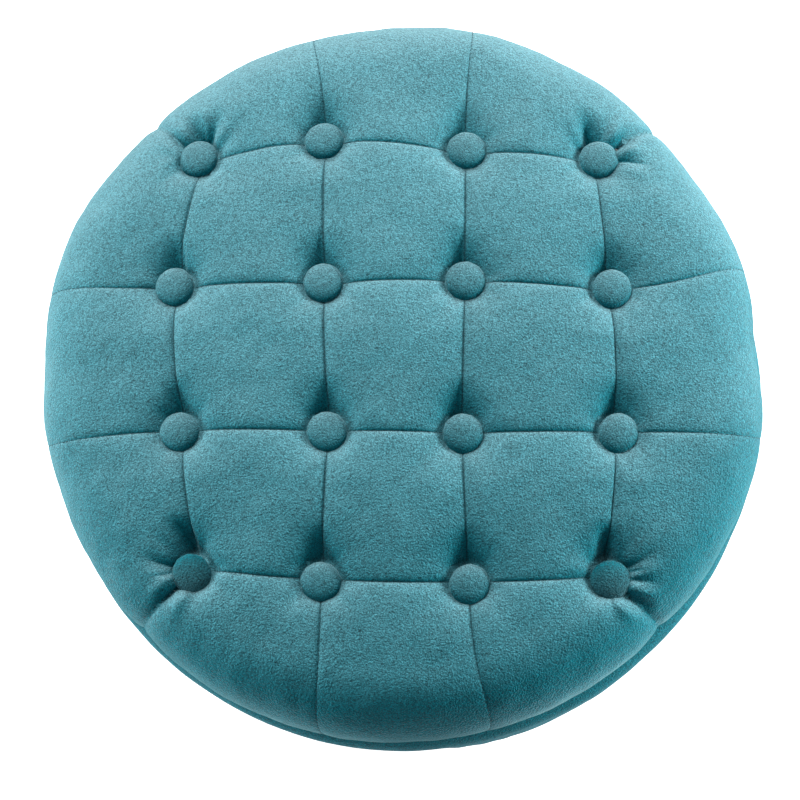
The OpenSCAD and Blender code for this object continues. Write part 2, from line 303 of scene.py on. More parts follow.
def makeVelvet(name, grainScale, tone=1.0, seamed=False, paintedLightWay=velvet["paintedLightWay"], sheen=velvet["sheen"]):
    material, tree, shader = makeMaterial(name)
    deep, pale = (tuple(c * tone for c in velvet[key][:3]) + (1,) for key in ("deep", "pale"))
    pile = useGroup(tree, pileGroup, **{"Shaded Color": deep, "Lit Color": pale, "Painted Light Way": paintedLightWay,
                                        "Grain Scale": grainScale, "Grain Depth": velvet["grainDepth"],
                                        "Patch Depth": velvet["patchDepth"]})
    # painted shade along the seam creases and round the buttons, read from a point attribute
    if seamed:
        mark = tree.nodes.new("ShaderNodeAttribute")
        mark.attribute_name = "paintedCreaseShade"
        tree.links.new(mark.outputs["Fac"], pile.inputs["Shade"])
    tree.links.new(pile.outputs["Color"], shader.inputs["Base Color"])
    tree.links.new(pile.outputs["Roughness"], shader.inputs["Roughness"])
    addBump(tree, shader, pile.outputs["Height"], velvet["bump"], 0.0008)
    shader.inputs["Sheen Weight"].default_value = sheen
    shader.inputs["Sheen Roughness"].default_value = velvet["sheenRoughness"]
    shader.inputs["Sheen Tint"].default_value = velvet["sheenTint"]
    shader.inputs["Specular IOR Level"].default_value = velvet["gloss"]
    return material


velvetSeat = makeVelvet("velvetSeat", velvet["grainScale"], seamed=True)
velvetButton = makeVelvet("velvetButton", velvet["grainScale"] * 1.1, 0.84)
# Painted shade: a darker copy of the button velvet for the front corner buttons, with its own painted light
# way
velvetButtonShaded = makeVelvet("velvetButtonShaded", velvet["grainScale"] * 1.1, 0.62, paintedLightWay=(0.1, -0.5, 0.0))
# Painted light and shade on the drum as well: paler facing the back, deeper facing the front
velvetDrum = makeVelvet("velvetDrum", velvet["grainScale"], 0.98, paintedLightWay=(-0.04, 0.32, 0.08), sheen=0.09)


def makeSpeckleGroup():
    # Fine two-tone unevenness on any surface: tone, roughness and a height for the bump
    group, start, end = newGroup("speckle", {
        "Color": (0.5, 0.5, 0.5, 1),
        "Other Color": (0.3, 0.3, 0.3, 1),
        "Scale": 400.0,
        "Contrast": 0.5,
        "Rough Low": 0.5,
        "Rough High": 0.8,
    })
    place = group.nodes.new("ShaderNodeTexCoord").outputs["Object"]
    fineNoise = noiseNode(group, place, start.outputs["Scale"], 4.0, 0.6)
    wideNoise = noiseNode(group, place, times(group, start.outputs["Scale"], 0.12), 3.0)
    blended = plus(group, times(group, fineNoise, 0.6), times(group, wideNoise, 0.4))
    factor = times(group, rampNode(group, blended, 0.38, 0.62), start.outputs["Contrast"])
    tone = mixColor(group, factor, start.outputs["Color"], start.outputs["Other Color"])
    group.links.new(tone, end.inputs["Color"])
    rough = group.nodes.new("ShaderNodeMapRange")
    group.links.new(fineNoise, rough.inputs["Value"])
    group.links.new(start.outputs["Rough Low"], rough.inputs["To Min"])
    group.links.new(start.outputs["Rough High"], rough.inputs["To Max"])
    group.links.new(rough.outputs[0], end.inputs["Roughness"])
    group.links.new(blended, end.inputs["Height"])
    return group


def makeWoodGroup():
    # Veneer: long grain on the faces, and the plies as bands along the edge where there are any
    group, start, end = newGroup("veneer", {
        "Color": (0.6, 0.42, 0.24, 1),
        "Dark Color": (0.4, 0.25, 0.13, 1),
        "Ply": 0.0014,
        "Ply Strength": 0.6,
    })
    place = group.nodes.new("ShaderNodeTexCoord").outputs["Object"]
    stretch = group.nodes.new("ShaderNodeMapping")
    stretch.inputs["Scale"].default_value = (1.0, 14.0, 14.0)
    group.links.new(place, stretch.inputs["Vector"])
    grain = noiseNode(group, stretch.outputs[0], 22.0, 5.0, 0.62)
    apart = group.nodes.new("ShaderNodeSeparateXYZ")
    group.links.new(place, apart.inputs[0])
    pair = times(group, start.outputs["Ply"], 2.0)
    layer = mathNode(group, "FRACT", mathNode(group, "DIVIDE", apart.outputs["Z"], pair))
    band = mathNode(group, "GREATER_THAN", layer, 0.5)
    normal = group.nodes.new("ShaderNodeSeparateXYZ")
    group.links.new(group.nodes.new("ShaderNodeNewGeometry").outputs["Normal"], normal.inputs[0])
    side = mathNode(group, "LESS_THAN", mathNode(group, "ABSOLUTE", normal.outputs["Z"]), 0.5)
    plies = times(group, times(group, band, side), start.outputs["Ply Strength"])
    streaks = times(group, rampNode(group, grain, 0.35, 0.7), 0.7)
    tone = mathNode(group, "MAXIMUM", streaks, plies)
    mixed = mixColor(group, tone, start.outputs["Color"], start.outputs["Dark Color"])
    group.links.new(mixed, end.inputs["Color"])
    group.links.new(rampNode(group, grain, 0.3, 0.7, 0.5, 0.72), end.inputs["Roughness"])
    group.links.new(grain, end.inputs["Height"])
    return group


def makeWeaveGroup():
    # Plain weave with threads along two directions, wrapped round the drum where it stands upright
    group, start, end = newGroup("weave", {
        "Color": (0.02, 0.021, 0.023, 1),
        "Thread Color": (0.06, 0.062, 0.066, 1),
        "Threads": 900.0,
    })
    uv = group.nodes.new("ShaderNodeTexCoord").outputs["UV"]
    apart = group.nodes.new("ShaderNodeSeparateXYZ")
    group.links.new(uv, apart.inputs[0])
    ridges = []
    for axis in ("X", "Y"):
        counted = times(group, apart.outputs[axis], start.outputs["Threads"])
        turned = times(group, counted, math.pi)
        ridges.append(mathNode(group, "ABSOLUTE", mathNode(group, "SINE", turned)))
    height = mathNode(group, "MAXIMUM", ridges[0], ridges[1])
    wear = noiseNode(group, uv, 40.0, 4.0, 0.6)
    factor = times(group, height, rampNode(group, wear, 0.3, 0.7, 0.55, 1.0))
    tone = mixColor(group, factor, start.outputs["Color"], start.outputs["Thread Color"])
    group.links.new(tone, end.inputs["Color"])
    group.links.new(rampNode(group, height, 0.0, 1.0, 0.95, 0.7), end.inputs["Roughness"])
    group.links.new(height, end.inputs["Height"])
    return group


speckleGroup = makeSpeckleGroup()
woodGroup = makeWoodGroup()
weaveGroup = makeWeaveGroup()


def makeFinish(name, group, bump, depth, metallic, gloss, values):
    material, tree, shader = makeMaterial(name)
    node = useGroup(tree, group, **values)
    tree.links.new(node.outputs["Color"], shader.inputs["Base Color"])
    tree.links.new(node.outputs["Roughness"], shader.inputs["Roughness"])
    shader.inputs["Metallic"].default_value = metallic
    shader.inputs["Specular IOR Level"].default_value = gloss
    addBump(tree, shader, node.outputs["Height"], bump, depth)
    return material


# Color, other color, scale, contrast, roughness from and to, bump, its depth, metallic, gloss
speckled = {
    "cutFoam": ((0.80, 0.74, 0.58), (0.62, 0.55, 0.38), 520.0, 0.8, 0.85, 1.0, 0.6, 0.0006, 0, 0.2),
    "fibreWrap": ((0.86, 0.86, 0.84), (0.62, 0.62, 0.60), 160.0, 0.7, 0.8, 1.0, 0.9, 0.0015, 0, 0.2),
    "dustCloth": ((0.030, 0.031, 0.033), (0.008, 0.008, 0.009), 900.0, 0.9, 0.7, 0.95, 0.6, 0.0004, 0, 0.25),
    "hardboard": ((0.26, 0.15, 0.075), (0.15, 0.08, 0.04), 600.0, 0.8, 0.55, 0.8, 0.3, 0.0003, 0, 0.3),
    "greyFelt": ((0.17, 0.17, 0.17), (0.08, 0.08, 0.08), 800.0, 0.9, 0.9, 1.0, 0.9, 0.0008, 0, 0.1),
    "bumperRubber": ((0.03, 0.03, 0.032), (0.014, 0.014, 0.015), 500.0, 0.6, 0.5, 0.7, 0.2, 0.0002, 0, 0.4),
    "hingeSteel": ((0.22, 0.22, 0.23), (0.14, 0.14, 0.15), 300.0, 0.6, 0.42, 0.60, 0.12, 0.0001, 1, 0.5),
    "zincSteel": ((0.62, 0.63, 0.66), (0.42, 0.44, 0.50), 180.0, 0.8, 0.25, 0.5, 0.15, 0.0001, 1, 0.5),
    "zincWire": ((0.60, 0.61, 0.62), (0.40, 0.41, 0.42), 600.0, 0.6, 0.3, 0.5, 0.1, 0.0001, 1, 0.5),
    "seamThread": ((0.006, 0.060, 0.078), (0.002, 0.030, 0.040), 1800.0, 0.9, 0.6, 0.85, 0.5, 0.0002, 0, 0.3),
    "waxedTwine": ((0.70, 0.66, 0.54), (0.42, 0.38, 0.28), 1500.0, 0.9, 0.6, 0.85, 0.8, 0.0005, 0, 0.3),
}
# Color, dark color, thickness of a ply, how clearly the plies show, bump, its depth, gloss
wooden = {
    "birchPlywood": ((0.66, 0.48, 0.29), (0.46, 0.30, 0.16), 0.0014, 0.75, 0.25, 0.0004, 0.35),
    "stainedBeech": ((0.030, 0.024, 0.020), (0.010, 0.008, 0.007), 0.5, 0.0, 0.3, 0.0003, 0.4),
}
finishes = {}
for name, (color, other, scale, contrast, low, high, bump, depth, metallic, gloss) in speckled.items():
    finishes[name] = makeFinish(name, speckleGroup, bump, depth, metallic, gloss, {
        "Color": (*color, 1), "Other Color": (*other, 1), "Scale": scale, "Contrast": contrast,
        "Rough Low": low, "Rough High": high})
for name, (color, dark, ply, plyStrength, bump, depth, gloss) in wooden.items():
    finishes[name] = makeFinish(name, woodGroup, bump, depth, 0, gloss, {
        "Color": (*color, 1), "Dark Color": (*dark, 1), "Ply": ply, "Ply Strength": plyStrength})
finishes["liningCloth"] = makeFinish("liningCloth", weaveGroup, 0.5, 0.0003, 0, 0.25, {
    "Color": (0.016, 0.017, 0.019, 1), "Thread Color": (0.055, 0.057, 0.062, 1), "Threads": 700.0})

nodeFinishes = {
    "birchPlywood": ["top_ring", "bottom_ring", "lid_board"],
    "hardboard": ["drum_wall", "floor_panel"],
    "stainedBeech": ["foot_front_left", "foot_front_right", "foot_back_left", "foot_back_right"],
    "greyFelt": ["felt_pads"],
    "bumperRubber": ["rim_bumpers"],
    "hingeSteel": ["hinge_base_leaf", "hinge_lid_leaf", "hinge_pin"],
    "zincSteel": ["hinge_base_screws", "hinge_lid_screws", "foot_bolts", "cord_washers", "button_backs"],
    "zincWire": ["hem_staples", "lid_staples"],
    "waxedTwine": ["tuft_cords"],
}
for name, nodes in nodeFinishes.items():
    for node in nodes:
        piece = bpy.data.objects[node]
        piece.data.materials.clear()
        piece.data.materials.append(finishes[name])
print("materials made")


seat = {
    "overRadius": 0.050,  # rounding above the girth
    "underRadius": 0.028,  # rounding below it
    "girthHeight": 0.034,  # where the upper rounding starts, above the underside
    "opening": 0.160,  # the cover's edge under the lid
    "fine": 0.0006,  # point spacing along the seams
    "coarse": 0.0024,
    "grow": 1.22,
    "quickGrid": (0.0011, 0.0045),
    "wrapGrid": (0.0024, 0.006),
    "foamGrid": (0.003, 0.007),
    "regular": 0.142,  # half width of the part whose grid stays square
    "groove": 0.0007,
    "grooveWidth": 0.00052,
    "dimple": 0.0104,
    "paintedRingShadow": 0.72,  # painted shadow: how much darker the cloth is painted right beside a button
    "pocket": 0.0118,  # how far out the cover stays down round a button
    "wedge": 0.0062,  # extra depth just behind each button
    "cloth": 0.0012,
    "slack": 0.0016,  # room between the cover and the fibre wrap
    "wrap": 0.008,
    "seamDepth": 0.0030,
    "seamDepthAtButton": 0.0034,  # added where a seam reaches a button
    "seamNearButton": 0.016,  # over this distance
    "seamValley": (0.0032, 0.014),  # half widths of its sharp and its soft part
    "cornerSeamDepth": 0.0046,
    "cornerSeamValley": (0.0030, 0.016),
    "ringAt": 0.0126,  # the painted shadow ring's radius and width
    "ringWidth": 0.0015,
    "wedgeAside": -0.0015,
    "wedgeWidth": 0.0078,
    "pleatDepth": 0.0009,
    "pleatWidth": 0.0010,
    "ripple": (0.0005, 0.0008),  # small creases round a button, and round a corner button
    "gathers": 61,  # under the lid, and their depth
    "gatherDepth": 0.0011,
    "bumpy": (0.00050, 0.00016),  # uneven stuffing, wide and narrow
}
# Where the seams reach the girth, in degrees round the lid
seamHeadings = {
    "back": (103.3, 78.4), "front": (-101.7, -76.1), "left": (168.0, 191.1), "right": (15.2, -10.7),
    "corners": (134.2, 43.0, -135.2, -44.7),
}
# Folds that run out from a corner button: heading in degrees, length, depth and half width in mm
cornerFolds = {
    (0, 0): [(141, 22, 5.4, 1.7), (109, 24, 5.4, 3.3), (90, 20, 3.0, 1.8), (72, 26, 5.2, 2.1),
             (212, 24, 1.8, 2.2)],
    (0, 3): [(100, 28, 5.6, 4.2), (62, 14, 1.8, 1.8), (42, 30, 4.6, 1.5), (32, 26, 2.6, 1.2),
             (2, 26, 3.8, 1.7)],
    (3, 0): [(110, 27, 6.2, 4.8), (164, 26, 3.8, 1.8), (182, 20, 3.0, 1.5), (201, 14, 1.8, 1.8),
             (229, 26, 5.0, 1.6)],
    (3, 3): [(98, 24, 5.5, 4.1), (24, 24, 3.2, 1.8), (6, 18, 2.6, 1.4), (-13, 24, 3.2, 1.6),
             (-40, 32, 5.2, 1.6), (-64, 14, 1.6, 1.8)],
}
# Fine pleats beside the seam behind a button: how far aside, and how long
pleats = {
    (0, 1): (-0.0030, 0.020), (1, 0): (0.0028, 0.030), (1, 1): (-0.0030, 0.038), (1, 2): (-0.0026, 0.034),
    (1, 3): (-0.0024, 0.022), (2, 0): (-0.0030, 0.022), (2, 1): (-0.0026, 0.030), (2, 2): (-0.0030, 0.036),
    (2, 3): (-0.0026, 0.026), (3, 1): (-0.0024, 0.026), (3, 2): (-0.0026, 0.028),
}
# Swells and hollows of the outline: heading in degrees, height in mm, spread in degrees
outlineSwells = [
    (155, 3.2, 14), (-13, 2.4, 9), (3, -3.9, 8), (78, 2.8, 10), (33.5, -2.5, 8), (54, 1.4, 8), (130, 2.0, 9),
    (115, 1.2, 8), (180, -1.8, 7), (-160, -2.0, 8), (-147, -1.5, 7), (-45, -1.0, 10), (-130, -0.8, 9),
    (-100, 0.8, 20),
]

crown = lidHigh[2]
overCenter = (lidRadius - seat["overRadius"], lidLow[2] + seat["girthHeight"])
underCenter = (lidRadius - seat["underRadius"], lidLow[2] + seat["underRadius"])
crownDrop = crown - overCenter[1] - seat["overRadius"]
crownRadius = (overCenter[0] ** 2 + crownDrop ** 2) / (2 * crownDrop) + seat["overRadius"]
crownTurn = math.asin(overCenter[0] / (crownRadius - seat["overRadius"]))
arcCrown = crownRadius * crownTurn
arcGirth = arcCrown + seat["overRadius"] * (math.pi / 2 - crownTurn)
arcUnder = arcGirth + overCenter[1] - underCenter[1]
arcFlat = arcUnder + seat["underRadius"] * math.pi / 2
arcEnd = arcFlat + underCenter[0] - seat["opening"]


def seatProfile(s):
    # Radius, height and outward normal of the plain lid at a distance s from the crown, along its surface
    a = np.minimum(s, arcCrown) / crownRadius
    r, z = crownRadius * np.sin(a), crown - crownRadius + crownRadius * np.cos(a)
    turn = a
    b = crownTurn + (np.clip(s, arcCrown, arcGirth) - arcCrown) / seat["overRadius"]
    over = s > arcCrown
    r = np.where(over, overCenter[0] + seat["overRadius"] * np.sin(b), r)
    z = np.where(over, overCenter[1] + seat["overRadius"] * np.cos(b), z)
    turn = np.where(over, b, turn)
    girth = s > arcGirth
    z = np.where(girth, overCenter[1] - (np.minimum(s, arcUnder) - arcGirth), z)
    c = math.pi / 2 + (np.clip(s, arcUnder, arcFlat) - arcUnder) / seat["underRadius"]
    under = s > arcUnder
    r = np.where(under, underCenter[0] + seat["underRadius"] * np.sin(c), r)
    z = np.where(under, underCenter[1] + seat["underRadius"] * np.cos(c), z)
    turn = np.where(under, c, turn)
    flat = s > arcFlat
    r = np.where(flat, underCenter[0] - (s - arcFlat), r)
    return r, z, np.sin(turn), np.cos(turn)


def halfSteps(length, fine, coarse, grow):
    # Steps that start fine and widen, in a count that divides by three for the cover's inner side
    steps, total, step = [], 0.0, fine
    while total < length:
        steps.append(step)
        total += step
        step = min(step * grow, coarse)
    marks = np.concatenate([[0], np.cumsum(steps)]) * length / total
    count = max(3, math.ceil(len(steps) / 3) * 3)
    return np.diff(np.interp(np.linspace(0, len(steps), count + 1), np.arange(len(marks)), marks))


def gridLines(stops, end, fine, coarse, grow):
    # Places of the grid's lines from -end to end: close together at each stop and wider between
    outer = 1 + (grow - 1) * 0.27  # slower growth where the corner folds run out
    steps = [halfSteps(end + stops[0], fine, coarse, outer)[::-1]]
    for a, b in zip(stops[:-1], stops[1:]):
        half = halfSteps((b - a) / 2, fine, coarse, grow)
        steps += [half, half[::-1]]
    steps.append(halfSteps(end - stops[-1], fine, coarse, outer))
    return -end + np.concatenate([[0], np.cumsum(np.concatenate(steps))])


toArc = crownRadius * np.arcsin(np.hypot(buttonSeat[..., 0], buttonSeat[..., 1]) / crownRadius)
toArc /= np.hypot(buttonSeat[..., 0], buttonSeat[..., 1])
buttonPlan = buttonSeat[..., :2] * toArc[..., None]  # the buttons on the lid's unrolled surface
colStops = buttonPlan[1:3, :, 0].mean(axis=0)
rowStops = buttonPlan[::-1][:, 1:3, 1].mean(axis=1)


def roundOff(i, j):
    # Square grid in the middle, circles at the edge
    m = np.maximum(np.abs(i), np.abs(j))
    blend = np.clip((m - seat["regular"]) / (arcFlat - seat["regular"]), 0, 1)
    reach = np.maximum(np.hypot(i, j), 1e-9)
    scale = (1 - blend) + blend * m / reach
    return np.stack([i * scale, j * scale], axis=-1)


def roundLid(heading, reach):
    # A place on the unrolled lid, that far from its crown
    return reach * np.array([math.cos(math.radians(heading)), math.sin(math.radians(heading))])


def seamAnchors():
    # Where the plain grid has each button and seam end, and where they belong
    plain, wanted = [], []
    for row in range(4):
        for col in range(4):
            plain.append(roundOff(colStops[col], rowStops[3 - row]))
            wanted.append(buttonPlan[row, col])
    far = np.linspace(0.15, arcEnd, 400)
    sides = [("back", colStops[1:3], 1), ("front", colStops[1:3], -1),
             ("left", rowStops[2:0:-1], -1), ("right", rowStops[2:0:-1], 1)]
    for side, stops, sign in sides:
        for stop, heading in zip(stops, seamHeadings[side]):
            fixed = np.full(400, stop)
            upright = side in ("back", "front")
            path = roundOff(fixed, sign * far) if upright else roundOff(sign * far, fixed)
            at = np.interp(arcGirth, np.hypot(path[:, 0], path[:, 1]), np.arange(400))
            plain.append(path[int(at)])
            wanted.append(roundLid(heading, arcGirth))
    for corner, heading in zip(((-1, 1), (1, 1), (-1, -1), (1, -1)), seamHeadings["corners"]):
        plain.append(arcGirth * np.array(corner) / math.sqrt(2))
        wanted.append(roundLid(heading, arcGirth))
    return np.array(plain), np.array(wanted)


anchorPlain, anchorWanted = seamAnchors()
anchorReach = 0.045
corners = ((0, 0), (0, 3), (3, 0), (3, 3))


def closeness(a, b):
    gap = a[:, None, :] - b[None, :, :]
    return np.exp(-(gap ** 2).sum(axis=-1) / (2 * anchorReach ** 2))


anchorWeights = closeness(anchorPlain, anchorPlain) + 0.02 * np.eye(len(anchorPlain))
anchorPull = np.linalg.solve(anchorWeights, anchorWanted - anchorPlain)


def pulled(plan):
    return plan + closeness(plan, anchorPlain) @ anchorPull


def rayDistance(plan, start, heading):
    # How far each point is along a straight line from start, and how far beside it
    direction = np.array([math.cos(heading), math.sin(heading)])
    along = (plan - start) @ direction
    beside = (plan - start) @ np.array([-direction[1], direction[0]])
    return along, beside


def crease(distance, narrow, wide, share=0.6):
    return share * np.exp(-distance / narrow) + (1 - share) * np.exp(-distance / wide)


def seatRelief(i, j, plan):
    # How far the cover stands off the plain lid, in metres, and the painted shade along its seam creases and
    # round its buttons
    s = np.hypot(plan[:, 0], plan[:, 1])
    theta = np.degrees(np.arctan2(plan[:, 1], plan[:, 0]))
    fade = 1 - 0.88 * smoothStep(s, 0.15, 0.235) - 0.06 * smoothStep(s, arcGirth, arcFlat)
    seams, shade = np.zeros(len(plan)), np.zeros(len(plan))
    for places, cross, stops, ends in ((i, j, colStops, rowStops), (j, i, rowStops, colStops)):
        for k, stop in enumerate(stops):
            inside = np.ones(len(plan))
            if k in (0, 3):
                inside = 1 - smoothStep(np.abs(cross), ends[3] - 0.004, ends[3] + 0.006)
            near = np.min(np.abs(cross[:, None] - ends[None, :]), axis=1)
            depth = seat["seamDepth"] + seat["seamDepthAtButton"] * np.exp(-near / seat["seamNearButton"])
            seams += (inside * fade * depth * crease(np.abs(places - stop), *seat["seamValley"])) ** 2
            # painted shade: a dark line along each seam crease (the same mask also sinks a shallow groove)
            shade = np.maximum(shade, inside * np.exp(-((places - stop) / seat["grooveWidth"]) ** 2))
    shade *= 1 - 0.8 * smoothStep(s, 0.15, 0.22) - 0.2 * smoothStep(s, arcUnder, arcFlat)
    for (row, col), heading in zip(corners, seamHeadings["corners"]):
        start = buttonPlan[row, col]
        end = roundLid(heading, arcGirth)
        lean = math.atan2(end[1] - start[1], end[0] - start[0])
        along, beside = rayDistance(plan, start, lean)
        on = smoothStep(along, 0.0, 0.012) * (1 - smoothStep(along, 0.09, 0.16))
        on *= 1 - 0.5 * smoothStep(along, 0.04, 0.09)
        seams += (on * seat["cornerSeamDepth"] * crease(np.abs(beside), *seat["cornerSeamValley"])) ** 2
        # painted shade: a dark line along each corner seam, strongest near its button
        line = smoothStep(along, 0.010, 0.016) * (1 - 0.7 * smoothStep(along, 0.022, 0.055))
        line *= 1 - smoothStep(s, arcGirth, arcGirth + 0.01)
        shade = np.maximum(shade, line * np.exp(-(beside / (1.7 * seat["grooveWidth"])) ** 2))
    relief = -np.sqrt(seams) - seat["groove"] * shade
    rng = np.random.default_rng(7)
    sink, folds = np.zeros(len(plan)), np.zeros(len(plan))
    for row in range(4):
        for col in range(4):
            gap = plan - buttonPlan[row, col]
            reach = np.maximum(np.hypot(gap[:, 0], gap[:, 1]), 1e-6)
            angle = np.arctan2(gap[:, 1], gap[:, 0])
            past = np.maximum(reach - seat["pocket"] - 0.0006 * np.sin(angle), 0)
            wide = 0.0185 + 0.0075 * np.sin(angle)  # the hollow runs further back than forward
            narrow = 0.0052 + 0.0014 * np.sin(angle)
            sink = np.maximum(sink, 0.55 * np.exp(-past / narrow) + 0.45 * np.exp(-past / wide))
            # painted shadow: a dark ring on the cloth hugging each button
            ring = np.exp(-((reach - seat["ringAt"]) / seat["ringWidth"]) ** 2)
            shade = np.maximum(shade, seat["paintedRingShadow"] * ring)
            ripple = np.zeros(len(plan))
            for count in (3, 5, 7, 8, 11):
                ripple += rng.uniform(0.3, 1) * np.cos(count * angle + rng.uniform(0, 6.3))
            ripple /= 3
            height = seat["ripple"][(row, col) in corners]
            folds += height * ripple * np.exp(-((reach - 0.018) / 0.008) ** 2)
            behind, beside = gap[:, 1], gap[:, 0]
            runOut = smoothStep(behind, 0.002, 0.010) * (1 - smoothStep(behind, 0.010, 0.036))
            wedge = np.exp(-(np.abs(beside - seat["wedgeAside"]) / seat["wedgeWidth"]) ** 1.6)
            folds -= seat["wedge"] * runOut * wedge
            pleat = pleats.get((row, col))
            if pleat:
                offset, length = pleat
                on = smoothStep(behind, 0.008, 0.013) * (1 - smoothStep(behind, 0.6 * length, length))
                aside = np.abs(i - colStops[col] - offset * (0.55 + 0.45 * (1 - behind / length)))
                folds -= on * seat["pleatDepth"] * np.exp(-(aside / seat["pleatWidth"]) ** 2)
                folds += on * 0.0004 * np.exp(-((aside - 0.0022) / 0.0012) ** 2)
            for heading, length, depth, width in cornerFolds.get((row, col), ()):
                along, beside = rayDistance(plan, buttonPlan[row, col], math.radians(heading))
                bow = 0.09 * along * np.sin(along / 0.012 + heading)
                far = 0.012 + 0.001 * length
                on = smoothStep(along, 0.007, 0.0135) * (1 - smoothStep(along, 0.4 * far, far))
                spread = 1 + np.clip(along, 0, 0.1) / 0.04
                off = np.abs(beside - bow)
                folds -= on * depth * 0.001 * np.exp(-off / (width * 0.001 * spread))
                folds += on * depth * 0.00035 * np.exp(-((off - 0.0050 * spread) / (0.0026 * spread)) ** 2)
    relief = relief * (1 - sink) - seat["dimple"] * sink + folds
    for heading, height, spread in outlineSwells:
        off = (theta - heading + 180) % 360 - 180
        side = smoothStep(s, 0.17, 0.235) * (1 - smoothStep(s, arcUnder + 0.02, arcFlat))
        relief += 0.001 * height * np.exp(-(off / spread) ** 2) * side
    return relief, shade


def seatPoints(i, j, inset=0.0):
    plan = pulled(roundOff(i, j))
    s = np.hypot(plan[:, 0], plan[:, 1])
    over = s > arcEnd - 1e-6
    plan = np.where(over[:, None], plan * (arcEnd / np.maximum(s, 1e-9))[:, None], plan)
    s = np.minimum(s, arcEnd)
    r, z, nr, nz = seatProfile(s)
    heading = plan / np.maximum(s, 1e-9)[:, None]
    base = np.stack([heading[:, 0] * r, heading[:, 1] * r, z], axis=-1)
    normal = np.stack([heading[:, 0] * nr, heading[:, 1] * nr, nz], axis=-1)
    top = 1 - smoothStep(s, arcUnder, arcFlat)
    lift, shade = seatRelief(i, j, plan)
    lift *= top
    wide, narrow = seat["bumpy"]
    lift += (wide * waves(3, base, 0.055) + narrow * waves(4, base, 0.016)) * top
    angle = np.arctan2(plan[:, 1], plan[:, 0])
    gather = np.cos(seat["gathers"] * angle + 1.6 * np.sin(3 * angle)) * 0.5 - 0.5
    low = smoothStep(s, arcUnder - 0.004, arcFlat) * (1 - 0.4 * smoothStep(s, arcFlat, arcEnd))
    lift += seat["gatherDepth"] * gather * low
    return base + normal * (lift - inset)[:, None], shade


def edgeRing(nx, ny, step=1):
    # The grid's outermost points in order, anticlockwise seen from above
    xs, ys = range(0, nx - 1, step), range(0, ny - 1, step)
    ring = [x * ny for x in xs] + [(nx - 1) * ny + y for y in ys]
    ring += [x * ny + ny - 1 for x in range(nx - 1, 0, -step)] + [y for y in range(ny - 1, 0, -step)]
    return ring


def makeSeatGrid(end, fine, coarse):
    lineX = gridLines(colStops, end, fine, coarse, seat["grow"])
    lineY = gridLines(rowStops, end, fine, coarse, seat["grow"])
    i, j = np.meshgrid(lineX, lineY, indexing="ij")
    return i, j


def makeSeatShell(name, fine, coarse, material):
    # The cover: a fine outer side, an inner side from every third line, and the cut edge that joins them
    i, j = makeSeatGrid(arcEnd, fine, coarse)
    nx, ny = i.shape
    outer, shade = seatPoints(i.ravel(), j.ravel())
    iIn, jIn = i[::3, ::3], j[::3, ::3]
    inner, shadeIn = seatPoints(iIn.ravel(), jIn.ravel(), seat["cloth"])
    mx, my = iIn.shape
    first = len(outer)
    faces = [tuple(f) for f in gridFaces(nx, ny)]
    faces += [tuple(f[::-1] + first) for f in gridFaces(mx, my)]
    ringOut, ringIn = edgeRing(nx, ny), edgeRing(mx, my)
    for k in range(len(ringIn)):
        edge = [ringOut[(3 * k + n) % len(ringOut)] for n in range(4)]
        faces.append((first + ringIn[k], first + ringIn[(k + 1) % len(ringIn)], *edge[::-1]))
    thing = makeObject(name, np.vstack([outer, inner]), faces, material)
    # painted shade in the seam creases and round the buttons, kept on the points for the velvet
    thing.data.attributes.new("paintedCreaseShade", "FLOAT", "POINT")
    thing.data.attributes["paintedCreaseShade"].data.foreach_set("value", np.concatenate([shade, shadeIn]))
    return thing


def makeSeatFilling(name, fine, coarse, inset, material):
    # A filling under the cover, hollowed at the bottom for the board
    i, j = makeSeatGrid(arcFlat, fine, coarse)
    nx, ny = i.shape
    points = seatPoints(i.ravel(), j.ravel(), inset)[0]
    ring = edgeRing(nx, ny)
    top = boxOf("lid_board")[1][2]
    wall = points[ring]
    wall[:, 2] = top
    first, count = len(points), len(ring)
    points = np.vstack([points, wall, [[0, 0, top]]])
    faces = [tuple(f) for f in gridFaces(nx, ny)]
    faces += [(ring[(k + 1) % count], ring[k], first + k, first + (k + 1) % count) for k in range(count)]
    faces += [(first + (k + 1) % count, first + k, first + count) for k in range(count)]
    return makeObject(name, points, faces, material)


def turnOutward(thing):
    work = bmesh.new()
    work.from_mesh(thing.data)
    bmesh.ops.recalc_face_normals(work, faces=work.faces)
    work.to_mesh(thing.data)
    work.free()


coverGrid = ((seat["fine"], seat["coarse"]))
seatCover = makeSeatShell("seatCover", *coverGrid, velvetSeat)
under = seat["cloth"] + seat["slack"]
fibreWrap = makeSeatFilling("fibreWrap", *seat["wrapGrid"], under, finishes["fibreWrap"])
seatFoam = makeSeatFilling("seatFoam", *seat["foamGrid"], under + seat["wrap"], finishes["cutFoam"])
padding = [(seatCover, "seat_cover", "velvet", 0.85), (fibreWrap, "seat_batting", "batting", 0.8),
           (seatFoam, "seat_foam", "foam", 1.0)]
for piece, node, slot, fill in padding:
    settle(piece, "lid", node)
print("seat cover and fillings made,", len(seatCover.data.polygons), "faces on the cover")


stitch = {"pitch": 0.0036, "length": 0.0027, "width": 0.00055, "height": 0.0004, "clear": 0.0125}


def unpull(plan):
    # The grid place of a point on the unrolled lid
    before = plan.copy()
    for _ in range(25):
        before = plan - (pulled(before) - before)
    reach = np.hypot(before[:, 0], before[:, 1])
    heading = before / np.maximum(reach, 1e-9)[:, None]
    table = np.linspace(0, arcEnd * 1.5, 1500)
    places = []
    for direction, length in zip(heading, reach):
        walked = roundOff(table * direction[0], table * direction[1])
        places.append(np.interp(length, np.hypot(walked[:, 0], walked[:, 1]), table) * direction)
    return np.array(places)


